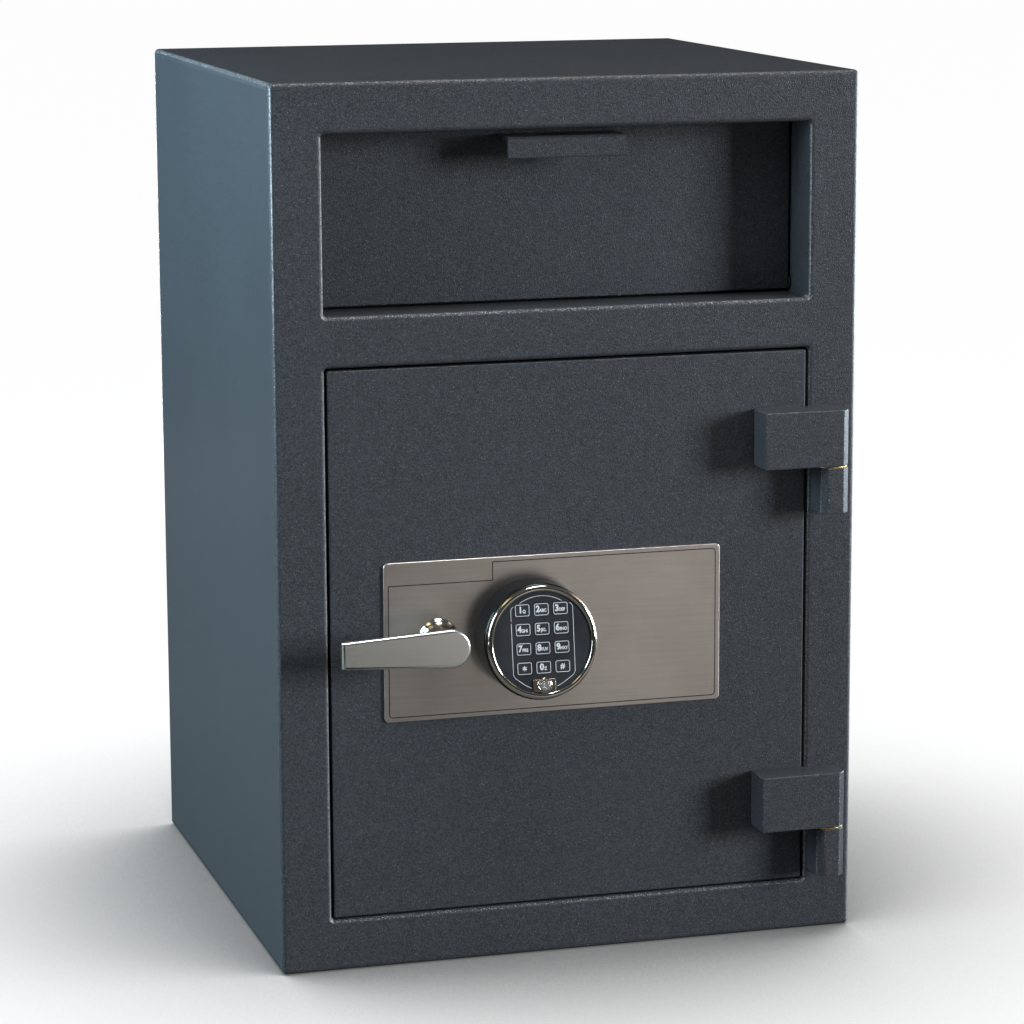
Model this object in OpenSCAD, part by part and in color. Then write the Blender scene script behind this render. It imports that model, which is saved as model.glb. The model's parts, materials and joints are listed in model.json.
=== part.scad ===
// Front-loading drop safe: welded steel body, tilting deposit hopper above,
// hinged door with lever handle, three live bolts and a push-button keypad below.
// Millimetres. Origin on the floor at the centre of the body's footprint,
// +X to the right seen from the front, +Y to the back, +Z up.

/* [Body] */
// Outside width of the body
body_w = 518; // [516:1:524]
// Outside depth of the body
body_d = 508; // [500:1:560]
// Outside height of the body
body_h = 762; // [760:1:780]
// Thickness of the side, top, bottom and back plates
wall_t = 6; // [5:0.5:8]
// Thickness of the front frame plate
frame_t = 10; // [9:0.5:10]
// Width of the frame each side of both openings
stile_w = 44; // [43:0.5:45]
// Radius of the floor anchor holes
anchor_r = 7; // [6:0.5:9]
// Anchor hole spacing across
anchor_x = 360; // [300:10:400]
// Anchor hole spacing front to back
anchor_y = 300; // [240:10:340]

/* [Deposit hopper] */
// Bottom of the hopper opening above the floor
hop_z0 = 567; // [565:0.5:569]
// Top of the hopper opening above the floor
hop_z1 = 719; // [718:0.5:722]
// Depth from the frame's face to the hopper panel
recess = 46; // [44:0.5:47]
// Thickness of the hopper panel
panel_t = 5; // [4:0.5:5]
// Width of the pull on the panel
pull_w = 104; // [80:1:140]
// How far the pull stands off the panel
pull_d = 37; // [30:0.5:40]
// Height of the pull's front lip
pull_h = 18.5; // [14:0.5:24]
// Slope of the hopper floor below level when shut, in degrees
hop_slope = 25; // [24:0.5:26]

/* [Door] */
// Bottom of the door opening above the floor
door_z0 = 45.5; // [44:0.5:47]
// Top of the door opening above the floor
door_z1 = 523.5; // [520:0.5:525]
// Gap round the door
door_gap = 2; // [1.5:0.25:2.5]
// Thickness of the door plate
door_t = 12.7; // [12:0.1:13]
// How far the door's face sits behind (+) the frame's face
door_inset = 0.6; // [0.4:0.1:0.8]
// Radius of the hinge pins
pin_r = 6.35; // [5:0.05:7]
// Radius of the live bolts
bolt_r = 12.5; // [10:0.5:12.5]

/* [Lock and handle] */
// Length of the lever from its axis to its tip
lever_l = 95; // [70:1:110]
// Height of the lever at its tip
lever_tip = 23; // [16:0.1:26]
// Radius of the lever's round end
lever_r = 16.8; // [14:0.1:17.5]
// Thickness of the lever
lever_t = 6; // [5:0.5:7]
// Outer radius of the keypad housing
pad_r = 50; // [49.5:0.1:51]
// Backward tilt of the keypad's face, in degrees
pad_tilt = 8; // [6:0.5:9]
// Key pitch across
key_px = 16.9; // [16.5:0.1:17.2]
// Key pitch up and down
key_py = 16.5; // [16:0.1:16.8]
// Key width
key_w = 13.4; // [12:0.1:13.6]
// Key height
key_h = 10.8; // [10:0.1:11.2]

/* [Hidden] */

$fn = 64;
hw = body_w / 2;
hd = body_d / 2;
face_y = -hd;                       // front face of the frame
frame_in = face_y + frame_t;        // back face of the frame
open_x = hw - stile_w;              // half width of both openings
in_x = hw - wall_t;                 // inner face of the side plates
in_z1 = body_h - wall_t;

// deposit hopper
panel_y = face_y + recess;          // front of the panel
throat_t = 3;
pan_x = open_x - 2;                 // half width of the panel
piv_y = panel_y + 4;
piv_z = hop_z0 + 8;
cheek_t = 2.5;
cheek_x = pan_x;                    // outer face of the cheeks, flush with the panel's ends
trun_r = 4;
floor_l = 107;                      // length of the hopper floor along its slope
floor_t = 2.5;
baffle_y = piv_y + 114;             // front face of the fixed baffle
baffle_z = piv_z + 36.6;            // underside of the baffle's front flange

// door
dy0 = face_y + door_inset;          // front of the door plate
dy1 = dy0 + door_t;                 // back of the door plate
door_x = open_x - door_gap;
ax = hw - 27.8;                     // hinge axis
ay = face_y - 16.5;
hinge_f = face_y - 30;              // front face of the hinge blocks
leaf_x0 = hw - 93;
lug_hw = 12.6;                      // half width of the hinge lugs
leaf_z = [422.5, 99.5];             // underside of each door leaf
leaf_h = 49.5;
barrel_z = [381, 55];
barrel_h = [40, 43];                // so that each washer fits between
wash_t = 1.4;

// handle and boltwork
hx = -119.5;
hz = 288;
esc_t = 2;
esc_y = dy0 - esc_t;                // front of the escutcheon
lever_y = face_y - 48;              // front of the lever
spin_r = 8;
cam_r = 13.4;                       // drive pin's radius about the spindle
bolt_z = [130, 285.5, 441];
bolt_y = face_y + 27;
bolt_tip = -(open_x - 6);
throw = 18.95;
bar_x0 = -172;
slot_x = hx + cam_r * cos(45);
cov_y = face_y + 48;                // inside of the cover's back sheet

// keypad
kx = -37;
kz = 286.5;
ky = face_y - 36.5;
row0 = 3.3 + 1.5 * key_py;

steel_paint = [0.25, 0.27, 0.30];
side_paint = [0.29, 0.36, 0.42];
bright = [0.72, 0.71, 0.69];
brushed = [0.55, 0.51, 0.48];
brass_c = [0.80, 0.62, 0.30];
dark = [0.10, 0.11, 0.14];

function arc(cx, cy, r, a0, a1, n) = [for (i = [0:n]) let (a = a0 + (a1 - a0) * i / n) [cx + r * cos(a), cy + r * sin(a)]];
function rrect(w, h, r, n = 5) = concat(
    arc(w / 2 - r, h / 2 - r, r, 0, 90, n), arc(-w / 2 + r, h / 2 - r, r, 90, 180, n),
    arc(-w / 2 + r, -h / 2 + r, r, 180, 270, n), arc(w / 2 - r, -h / 2 + r, r, 270, 360, n));

module box(x0, x1, y0, y1, z0, z1) { translate([x0, y0, z0]) cube([x1 - x0, y1 - y0, z1 - z0]); }
// extrudes an XZ outline from y0 towards the front
module fwd(y0, h) { translate([0, y0, 0]) rotate([90, 0, 0]) linear_extrude(h) children(); }
// a round along Y, from y0 to y1
module ycyl(x, z, r, y0, y1) { translate([x, y1, z]) rotate([90, 0, 0]) cylinder(r = r, h = y1 - y0); }
// a round along X, from x0 to x1
module xcyl(y, z, r, x0, x1) { translate([x0, y, z]) rotate([0, 90, 0]) cylinder(r = r, h = x1 - x0); }
// extrudes a YZ outline from x0 to x1
module across(x0, x1) { translate([x0, 0, 0]) rotate([90, 0, 90]) linear_extrude(x1 - x0) children(); }
// the keypad's own frame: z out of its tilted face, y up the face
module pad() { translate([kx, ky, kz]) rotate([90 - pad_tilt, 0, 0]) children(); }

// ---- body weldment ----
module front_frame() {
    color(steel_paint) difference() {
        box(-hw, hw, face_y, frame_in, 0, body_h);
        box(-open_x, open_x, face_y - 5, frame_in + 5, hop_z0, hop_z1);
        box(-open_x, open_x, face_y - 5, frame_in + 5, door_z0, door_z1);
    }
}
module side_left() { color(side_paint) box(-hw, -in_x, frame_in, hd, wall_t, in_z1); }
module side_right() { color(side_paint) box(in_x, hw, frame_in, hd, wall_t, in_z1); }
module top_plate() { color(steel_paint) box(-hw, hw, frame_in, hd, in_z1, body_h); }
module bottom_plate() {
    color(steel_paint) difference() {
        box(-hw, hw, frame_in, hd, 0, wall_t);
        for (sx = [-1, 1], sy = [-1, 1]) translate([sx * anchor_x / 2, sy * anchor_y / 2, -1]) cylinder(r = anchor_r, h = wall_t + 2);
    }
}
module back_plate() { color(steel_paint) box(-in_x, in_x, hd - wall_t, hd, wall_t, in_z1); }

// ---- sleeve of the hopper opening ----
module throat_top() { color(steel_paint) box(-open_x - throat_t, open_x + throat_t, frame_in, panel_y + 22, hop_z1, hop_z1 + throat_t); }
module throat_sill() { color(steel_paint) box(-open_x - throat_t, open_x + throat_t, frame_in, panel_y + 6, hop_z0 - throat_t, hop_z0); }
module throat_side(x0) {
    color(steel_paint) difference() {
        box(x0, x0 + throat_t, frame_in, panel_y + 22, hop_z0, hop_z1);
        xcyl(piv_y, piv_z, trun_r + 0.06, x0 - 1, x0 + throat_t + 1);
    }
}
module throat_left() { throat_side(-open_x - throat_t); }
module throat_right() { throat_side(open_x); }
// fixed plate that stops anything being fished out past the open hopper
module anti_fish_baffle() {
    color(steel_paint) {
        box(-in_x, in_x, baffle_y, baffle_y + 3, baffle_z, in_z1);
        box(-cheek_x + cheek_t + 3, cheek_x - cheek_t - 3, baffle_y - 14, baffle_y, baffle_z, baffle_z + 2.5);
    }
}
module hopper_rest_rod() {
    c = cos(hop_slope); s = sin(hop_slope);
    q = [panel_y + panel_t + 70 * c - (floor_t + 5.2) * s, hop_z0 + 6 - 70 * s - (floor_t + 5.2) * c];
    color(bright) xcyl(q[0], q[1], 5, -in_x, in_x);
}

// ---- hinges, frame side ----
module frame_hinge_barrels() {
    color(steel_paint) for (i = [0, 1]) difference() {
        translate([0, 0, barrel_z[i]]) linear_extrude(barrel_h[i]) polygon([
            [ax - lug_hw, face_y], [ax - lug_hw, hinge_f + 6], [ax - lug_hw + 6, hinge_f],
            [ax + lug_hw - 6, hinge_f], [ax + lug_hw, hinge_f + 6], [ax + lug_hw, face_y]]);
        translate([ax, ay, barrel_z[i] + 4]) cylinder(r = pin_r, h = barrel_h[i]);
    }
}
module hinge_pins() {
    color(bright) for (i = [0, 1]) translate([ax, ay, barrel_z[i] + 4]) cylinder(r = pin_r, h = barrel_h[i] + 36);
}
module hinge_washers() {
    color(brass_c) for (i = [0, 1]) translate([ax, ay, barrel_z[i] + barrel_h[i]]) difference() {
        cylinder(r = 13.6, h = wash_t);
        translate([0, 0, -1]) cylinder(r = pin_r + 0.05, h = wash_t + 2);
    }
}

// ---- deposit hopper ----
module hopper_panel() { color(steel_paint) box(-pan_x, pan_x, panel_y, panel_y + panel_t, hop_z0 + 2.5, hop_z1 - 2); }
module hopper_pull() {
    z1 = hop_z1 - 7;
    color(steel_paint) across(-pull_w / 2, pull_w / 2) polygon([
        [panel_y, z1], [panel_y - pull_d + 1, z1], [panel_y - pull_d, z1 - 1], [panel_y - pull_d, z1 - pull_h],
        [panel_y - pull_d + 3.5, z1 - pull_h], [panel_y - pull_d + 3.5, z1 - 3.5], [panel_y, z1 - 3.5]]);
}
module hopper_cheek(x0) {
    // y-z outline about the pivot; kept inside the baffle's face and the ceiling
    y0 = panel_y + panel_t;
    a1 = acos(110 / 139.5);
    color(side_paint) across(x0, x0 + cheek_t) polygon(concat(
        [[y0, hop_z0 + 6], [y0, piv_z + 139]],
        arc(piv_y, piv_z, 139.5, 85, a1, 8),
        arc(piv_y, piv_z, 110, 0, -24, 4),
        [[y0 + (floor_l - 2) * cos(hop_slope), hop_z0 + 6 - (floor_l - 2) * sin(hop_slope)]]));
}
module hopper_cheek_left() { hopper_cheek(-cheek_x); }
module hopper_cheek_right() { hopper_cheek(cheek_x - cheek_t); }
module hopper_floor() {
    y0 = panel_y + panel_t; z0 = hop_z0 + 6;
    c = cos(hop_slope); s = sin(hop_slope);
    color(side_paint) across(-cheek_x, cheek_x) polygon([
        [y0, z0], [y0, z0 - floor_t / c], [y0 + floor_l * c - floor_t * s, z0 - floor_l * s - floor_t * c],
        [y0 + floor_l * c, z0 - floor_l * s]]);
}
module hopper_trunnions() {
    color(bright) for (s = [-1, 1]) mirror([s < 0 ? 1 : 0, 0, 0]) {
        xcyl(piv_y, piv_z, trun_r, cheek_x, open_x + throat_t + 4);
        xcyl(piv_y, piv_z, 6.5, cheek_x, cheek_x + 1.6);
    }
}

// ---- door ----
module door_plate() {
    color(steel_paint) difference() {
        box(-door_x, door_x, dy0, dy1, door_z0 + door_gap, door_z1 - door_gap);
        ycyl(hx, hz, 12, dy0 - 1, dy1 + 1);
        ycyl(kx, kz, 6, dy0 - 1, dy1 + 1);
    }
}
module door_hinge_leaves() {
    gap_y = face_y - 0.6;
    a0 = asin((gap_y - ay) / 16.2);
    a1 = acos(lug_hw / 16.2);
    color(steel_paint) for (i = [0, 1]) difference() {
        translate([0, 0, leaf_z[i]]) linear_extrude(leaf_h) polygon(concat(
            [[leaf_x0, dy0], [door_x - 2, dy0], [door_x - 2, gap_y]],
            arc(ax, ay, 16.2, a0, a1, 6),
            [[ax + lug_hw, hinge_f + 6], [ax + lug_hw - 6, hinge_f], [leaf_x0, hinge_f]]));
        translate([ax, ay, leaf_z[i] - 1]) cylinder(r = pin_r + 0.07, h = 41);
    }
}
module escutcheon_plate() {
    color(brushed) difference() {
        fwd(dy0, esc_t) translate([-16.25, 286.05]) polygon(rrect(301.5, 138.5, 4));
        ycyl(hx, hz, 9, esc_y - 1, dy0 + 1);
        ycyl(kx, kz, 6, esc_y - 1, dy0 + 1);
    }
}
module handle_rose() {
    color(bright) difference() {
        union() {
            ycyl(hx, hz, 17.5, esc_y - 2, esc_y);
            ycyl(hx, hz, 15.5, esc_y - 4, esc_y);
        }
        ycyl(hx, hz, spin_r + 0.3, esc_y - 5, esc_y + 1);
    }
}
module spindle_bushing() {
    color(brass_c) difference() {
        union() {
            ycyl(hx, hz, 12, dy0 + 0.2, dy1);
            ycyl(hx, hz, 15, dy1, dy1 + 3);
        }
        ycyl(hx, hz, spin_r + 0.06, dy0 - 1, dy1 + 4);
    }
}
module hinge_side_deadbar() {
    color(bright) difference() {
        box(open_x - 30, open_x + 6, dy1, dy1 + 12.2, 70, 500);
        box(door_x - 2, open_x + 8, dy1 - 1, dy1 + 2.2, 60, 510);
    }
}
module bolt_frame() {
    color(steel_paint) difference() {
        box(-205, -199, dy1, cov_y, 84, 486);
        for (z = bolt_z) xcyl(bolt_y, z, bolt_r + 0.08, -206, -198);
    }
}
module hard_plate() {
    color(dark) difference() {
        box(-80, 5, dy1, dy1 + 4, 240, 334);
        ycyl(kx, kz, 6, dy1 - 1, dy1 + 5);
    }
}
module lock_case() {
    color(bright) difference() {
        box(-67, -6, dy1 + 4, dy1 + 30, 244.5, 329.5);
        box(-44.3, -22.7, dy1 + 12.4, dy1 + 20.6, 296, 331);
    }
}
module lock_cable() { color(dark) ycyl(kx, kz, 2.5, ky + 6.4, dy1 + 4); }
module boltwork_cover() {
    color(steel_paint) difference() {
        box(-205, 183, dy1, cov_y + 2, 82, 488);
        box(-206, 181, dy1 - 1, cov_y, 84, 486);
    }
}
module cover_screws() {
    color(bright) for (x = [-185, 0, 165], z = [100, 470]) ycyl(x, z, 5, cov_y + 2, cov_y + 4.5);
}

// ---- keypad ----
module keypad_housing() {
    color(dark) difference() {
        // a straight round off the plate, cut off along the tilt of the face
        ycyl(kx, kz - 4 * sin(pad_tilt), pad_r, ky - 14, esc_y);
        pad() translate([-80, -80, -4]) cube([160, 160, 60]);
        pad() translate([0, 0, -24]) cylinder(r = 40, h = 21);
        pad() translate([0, 0, -6]) cylinder(r = 43, h = 4);
        ycyl(kx, kz, 6, esc_y - 25, esc_y + 2);
    }
}
module keypad_bezel() {
    color(bright) pad() rotate_extrude() polygon([
        [43.45, -4], [48.7, -4], [48.7, -0.2], [47.9, 1.1], [46.5, 1.8], [44.9, 1.6], [43.9, 0.9], [43.45, 0.2]]);
}
module key_hole(c, r) { translate([(c - 1) * key_px, row0 - r * key_py, 0]) linear_extrude(6, center = true) polygon(rrect(key_w + 0.6, key_h + 0.6, 2.4)); }
module keypad_face() {
    color(dark) pad() difference() {
        translate([0, 0, -2]) cylinder(r = 43.4, h = 2);
        for (c = [0:2], r = [0:3]) key_hole(c, r);
    }
}
module keypad_board() { color([0.10, 0.30, 0.18]) pad() translate([0, 0, -6]) cylinder(r = 42.9, h = 1.6); }
module battery_tab() { color(bright) pad() translate([-10, -42.1, 0]) cube([20, 10.6, 1.6]); }
module battery_tab_screw() {
    color(bright) pad() difference() {
        translate([0, -37, 1.6]) cylinder(r = 4.2, h = 1.2);
        for (a = [0, 90]) translate([0, -37, 2.6]) rotate([0, 0, a + 20]) cube([5, 0.9, 1.6], center = true);
    }
}
module key(c, r) {
    color(dark) pad() translate([(c - 1) * key_px, row0 - r * key_py, 0]) {
        translate([0, 0, -3.1]) linear_extrude(3.7) polygon(rrect(key_w, key_h, 2.1));
        translate([0, 0, -3.1]) linear_extrude(1) polygon(rrect(key_w + 1.8, key_h + 1.8, 2.6));
    }
}

// ---- handle ----
module handle_lever() {
    d = asin((lever_r - lever_tip / 2) / lever_l);
    color(bright) fwd(lever_y + lever_t, lever_t) translate([hx, hz]) polygon(concat(
        arc(0, 0, lever_r, -90 - d, 90 + d, 36), [[-lever_l, lever_tip / 2], [-lever_l, -lever_tip / 2]]));
}
module handle_neck() {
    color(bright) difference() {
        translate([hx, esc_y - 4.2, hz]) rotate([90, 0, 0]) cylinder(r1 = 14.5, r2 = 11.5, h = esc_y - 4.2 - lever_y - lever_t);
        ycyl(hx, hz, spin_r, lever_y + lever_t - 1, esc_y + 1);
    }
}
module handle_spindle() { color(bright) ycyl(hx, hz, spin_r, lever_y + lever_t, dy1 + 17); }
module drive_cam() {
    color(bright) difference() {
        ycyl(hx, hz, 20, dy1 + 17, dy1 + 23);
        ycyl(slot_x, hz + cam_r * sin(45), 4, dy1 + 16, dy1 + 24);
    }
}
module drive_pin() { color(bright) ycyl(slot_x, hz + cam_r * sin(45), 4, dy1 + 17, dy1 + 32); }

// ---- boltwork ----
module bolt_bar() {
    color(bright) difference() {
        union() {
            box(bar_x0, bar_x0 + 12, bolt_y - 7, bolt_y + 7, 105, 465);
            box(bar_x0, bar_x0 + 12, bolt_y + 7, dy1 + 28, 262, 316);
            box(bar_x0 + 12, slot_x + 13, dy1 + 24, dy1 + 28, 262, 316);
            box(bar_x0 + 12, -24, bolt_y - 3, bolt_y + 7, 333, 349);
        }
        box(slot_x - 4.7, slot_x + 4.7, dy1 + 20, dy1 + 30, 292, 307);
    }
}
module door_bolts() { color([0.85, 0.85, 0.86]) for (z = bolt_z) xcyl(bolt_y, z, bolt_r, bolt_tip, bar_x0); }
module lock_bolt() {
    // ramped nose: falls 9 mm over the bar's throw
    color(bright) fwd(dy1 + 20.4, 7.8) polygon([
        [-43.9, 300], [-23.1, 300], [-23.1, 332.5], [-24, 332.5], [-24 - throw, 323.5], [-43.9, 323.5]]);
}

front_frame();
side_left();
side_right();
top_plate();
bottom_plate();
back_plate();
throat_top();
throat_sill();
throat_left();
throat_right();
anti_fish_baffle();
hopper_rest_rod();
frame_hinge_barrels();
hinge_pins();
hinge_washers();
hopper_panel();
hopper_pull();
hopper_cheek_left();
hopper_cheek_right();
hopper_floor();
hopper_trunnions();
door_plate();
door_hinge_leaves();
escutcheon_plate();
handle_rose();
spindle_bushing();
hinge_side_deadbar();
bolt_frame();
hard_plate();
lock_case();
lock_cable();
boltwork_cover();
cover_screws();
keypad_housing();
keypad_bezel();
keypad_face();
keypad_board();
battery_tab();
battery_tab_screw();
handle_lever();
handle_neck();
handle_spindle();
drive_cam();
drive_pin();
bolt_bar();
door_bolts();
lock_bolt();
key(0, 0);  // key_1
key(1, 0);  // key_2
key(2, 0);  // key_3
key(0, 1);  // key_4
key(1, 1);  // key_5
key(2, 1);  // key_6
key(0, 2);  // key_7
key(1, 2);  // key_8
key(2, 2);  // key_9
key(0, 3);  // key_star
key(1, 3);  // key_0
key(2, 3);  // key_hash
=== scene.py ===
import bpy
import bmesh
import json
import math
from mathutils import Matrix, Vector
from mathutils.geometry import tessellate_polygon

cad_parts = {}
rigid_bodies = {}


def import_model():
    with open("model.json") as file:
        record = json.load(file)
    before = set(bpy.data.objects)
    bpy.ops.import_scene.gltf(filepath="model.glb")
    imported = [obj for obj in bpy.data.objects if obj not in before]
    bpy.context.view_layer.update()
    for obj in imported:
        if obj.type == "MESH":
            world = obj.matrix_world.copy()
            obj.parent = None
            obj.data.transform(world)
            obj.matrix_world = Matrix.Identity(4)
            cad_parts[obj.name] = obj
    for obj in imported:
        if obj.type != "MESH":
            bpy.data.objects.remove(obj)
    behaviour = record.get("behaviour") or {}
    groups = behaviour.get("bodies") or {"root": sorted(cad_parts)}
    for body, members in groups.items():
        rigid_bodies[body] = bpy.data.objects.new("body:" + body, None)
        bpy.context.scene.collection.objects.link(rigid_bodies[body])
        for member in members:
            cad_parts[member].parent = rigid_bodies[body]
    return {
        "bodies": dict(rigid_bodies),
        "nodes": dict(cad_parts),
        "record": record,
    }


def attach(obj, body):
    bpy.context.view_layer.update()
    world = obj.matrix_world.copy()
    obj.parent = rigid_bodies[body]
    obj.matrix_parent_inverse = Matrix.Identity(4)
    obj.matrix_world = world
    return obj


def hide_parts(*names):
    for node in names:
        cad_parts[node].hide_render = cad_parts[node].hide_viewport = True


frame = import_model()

scene = bpy.context.scene
nodes = frame["nodes"]
kept = set(nodes.values()) | set(frame["bodies"].values())
for o in list(bpy.data.objects):
    if o not in kept:
        bpy.data.objects.remove(o)
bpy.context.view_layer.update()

# ---------------------------------------------------------------- sizes, mm, as in the CAD
HX, HZ = -119.5, 288.0            # handle axis
KX, KY, KZ = -37.0, -290.5, 286.5  # middle of the keypad's face
TILT = 8.0
ESC_Y = -255.4                    # front of the escutcheon
LEVER_Y = -302.0
PANEL_Y = -208.0
KEYS = (("1", "Q"), ("2", "ABC"), ("3", "DEF"), ("4", "GHI"), ("5", "JKL"), ("6", "MNO"),
        ("7", "PRS"), ("8", "TUV"), ("9", "WXY"), ("star", ""), ("0", "Z"), ("hash", ""))
ROW0 = 3.3 + 1.5 * 16.5

FORWARD = Matrix.Rotation(math.radians(90), 4, "X")                 # local z comes out of the front
PAD = Matrix.Translation((KX, KY, KZ)) @ Matrix.Rotation(math.radians(90 - TILT), 4, "X")
MM = Matrix.Scale(0.001, 4)
# the housing's round runs straight back to the plate from the tilted seat at -4
lean, rise = math.cos(math.radians(TILT)), math.sin(math.radians(TILT))
STRAIGHT = Matrix(((1, 0, 0, KX), (0, rise, -1 / lean, KY + 4 * lean - 4 / lean), (0, lean, 0, KZ - 4 * rise), (0, 0, 0, 1)))


def at(x, y, z):
    return Matrix.Translation((x, y, z)) @ FORWARD


# ---------------------------------------------------------------- materials
def N(t, kind, ins=None, **attrs):
    n = t.nodes.new(kind)
    for k, v in attrs.items():
        setattr(n, k, v)
    for k, v in (ins or {}).items():
        if isinstance(v, bpy.types.NodeSocket):
            t.links.new(v, n.inputs[k])
        else:
            n.inputs[k].default_value = v
    return n


def calc(t, op, a, b=0.0, c=0.0, clamp=False):
    return N(t, "ShaderNodeMath", {0: a, 1: b, 2: c}, operation=op, use_clamp=clamp).outputs[0]


def ramp(t, value, lo, hi, out0=0.0, out1=1.0):
    return N(t, "ShaderNodeMapRange", {"Value": value, "From Min": lo, "From Max": hi, "To Min": out0, "To Max": out1},
             interpolation_type="SMOOTHSTEP").outputs["Result"]


def blend(t, fac, a, b, mode="MIX"):
    n = t.nodes.new("ShaderNodeMix")
    n.data_type, n.blend_type = "RGBA", mode
    for i, v in ((0, fac), (6, a), (7, b)):
        if isinstance(v, bpy.types.NodeSocket):
            t.links.new(v, n.inputs[i])
        else:
            n.inputs[i].default_value = v if i == 0 else (*v, 1.0)
    return n.outputs[2]


def coords(t, sx=1.0, sy=1.0, sz=1.0):
    co = N(t, "ShaderNodeTexCoord").outputs["Object"]
    return N(t, "ShaderNodeVectorMath", {0: co, 1: (sx, sy, sz)}, operation="MULTIPLY").outputs[0]


def noise(t, vec, scale, detail=2.0, rough=0.5, distort=0.0):
    return N(t, "ShaderNodeTexNoise", {"Vector": vec, "Scale": scale, "Detail": detail, "Roughness": rough, "Distortion": distort}).outputs["Fac"]


def bump(t, height, strength, distance, under=None):
    ins = {"Height": height, "Strength": strength, "Distance": distance}
    if under is not None:
        ins["Normal"] = under
    return N(t, "ShaderNodeBump", ins).outputs["Normal"]


def wear_and_highlight(t):
    return N(t, "ShaderNodeAttribute", attribute_name="wear_and_highlight").outputs["Fac"]


def material(name, **sockets):
    m = bpy.data.materials.new(name)
    m.use_nodes = True
    t = m.node_tree
    b = t.nodes["Principled BSDF"]
    for k, v in sockets.items():
        b.inputs[k.replace("_", " ")].default_value = v
    return m, t, b


def put(t, b, **sockets):
    for k, v in sockets.items():
        t.links.new(v, b.inputs[k.replace("_", " ")])


def enamel(name, base, edge, rough=0.31, spec=0.25, grain=1.0, glint_strength=1.0):
    """Dark pebble-textured enamel: fine raised grain, single grains painted pale as painted glints, edges painted
    lighter as worn paint and painted highlights.
    """
    m, t, b = material(name, Specular_IOR_Level=spec)
    co = coords(t)
    broad = noise(t, co, 5.5, 2, 0.55)
    askew = N(t, "ShaderNodeVectorRotate", {"Vector": co, "Axis": (0.5, 0.3, 0.8), "Angle": 0.7}, rotation_type="AXIS_ANGLE").outputs[0]
    cell = N(t, "ShaderNodeTexVoronoi", {"Vector": askew, "Scale": 860.0})
    pebble = N(t, "ShaderNodeSeparateColor", {0: cell.outputs["Color"]})
    height = ramp(t, cell.outputs["Distance"], 0.0, 0.7, 1.0, 0.0)
    tone = calc(t, "ADD", calc(t, "MULTIPLY", broad, 0.14), calc(t, "MULTIPLY_ADD", pebble.outputs[1], 0.7 * grain, 0.93 - 0.35 * grain))
    col = blend(t, 1.0, base, N(t, "ShaderNodeCombineColor", {0: tone, 1: tone, 2: tone}).outputs[0], "MULTIPLY")
    # painted highlights: sparse single grains painted pale grey as glints, more of them where the broad noise is low
    where = ramp(t, broad, 0.40, 0.62, 0.03, 0.0)
    painted_glints = calc(t, "MULTIPLY", ramp(t, calc(t, "ADD", pebble.outputs[0], where), 0.962, 0.980), ramp(t, cell.outputs["Distance"], 0.45, 0.25))
    col = blend(t, calc(t, "MULTIPLY", painted_glints, 0.6 * glint_strength), col, (0.26, 0.27, 0.28))
    # edges lightened toward the edge colour and made glossier: worn paint and painted highlights, in single flecks up
    # to 1 and right through above 1
    w = wear_and_highlight(t)
    dotted = calc(t, "MULTIPLY", calc(t, "MINIMUM", w, 1.0), ramp(t, noise(t, askew, 980, 1, 0.5), 0.585, 0.64, 0.02, 1.0), clamp=True)
    solid = calc(t, "MULTIPLY", calc(t, "SUBTRACT", w, 1.0, clamp=True), ramp(t, noise(t, co, 520, 2, 0.6), 0.38, 0.60, 0.25, 1.0))
    highlight_and_wear = calc(t, "ADD", dotted, solid, clamp=True)
    col = blend(t, calc(t, "MULTIPLY", highlight_and_wear, 0.85), col, edge)
    r = calc(t, "ADD", ramp(t, broad, 0.3, 0.7, rough - 0.012, rough + 0.012), calc(t, "MULTIPLY", highlight_and_wear, -0.10))
    put(t, b, Base_Color=col, Roughness=r, Normal=bump(t, height, 0.6 * grain, 0.0003))
    return m


def brushed(name, base, along="X", rough=0.33, streak=0.10, depth=0.00002, scale=1.0, smudge=0.08, spots=0.25, spread=0.0, bite=0.3):
    """Metal with one direction of fine brushing, faint smudges and brighter worn rims."""
    m, t, b = material(name, Metallic=1.0, Anisotropic=spread)
    s = {"X": (16, 420, 420), "Y": (420, 16, 420), "Z": (420, 420, 16)}[along]
    lines = noise(t, coords(t, *[v * scale for v in s]), 1.0, 3, 0.62)
    co = coords(t)
    cloud = noise(t, co, 14, 4, 0.6, 0.4)
    tone = calc(t, "ADD", ramp(t, lines, 0.3, 0.7, -streak, streak), ramp(t, cloud, 0.3, 0.72, 1.0 - smudge, 1.0 + smudge * 0.5))
    col = blend(t, 1.0, base, N(t, "ShaderNodeCombineColor", {0: tone, 1: tone, 2: tone}).outputs[0], "MULTIPLY")
    marks = noise(t, co, 520, 1, 0.5)
    col = blend(t, calc(t, "MULTIPLY", ramp(t, marks, 0.735, 0.77), spots), col, tuple(v * 0.33 for v in base))
    col = blend(t, calc(t, "MULTIPLY", ramp(t, marks, 0.275, 0.24), spots), col, tuple(min(1.0, v * 1.7) for v in base))
    col = blend(t, calc(t, "MULTIPLY", wear_and_highlight(t), 0.4), col, tuple(min(1.0, v * 1.5) for v in base))
    r = calc(t, "ADD", ramp(t, cloud, 0.3, 0.72, rough - 0.13 * bite, rough + 0.13 * bite), ramp(t, lines, 0.25, 0.75, -0.13 * bite, 0.13 * bite))
    put(t, b, Base_Color=col, Roughness=r, Normal=bump(t, lines, bite, depth))
    if spread:
        across = {"X": (0, 0, 1), "Y": (0, 0, 1), "Z": (1, 0, 0)}[along]
        put(t, b, Tangent=N(t, "ShaderNodeCombineXYZ", {0: across[0], 1: across[1], 2: across[2]}).outputs[0])
    return m


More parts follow.
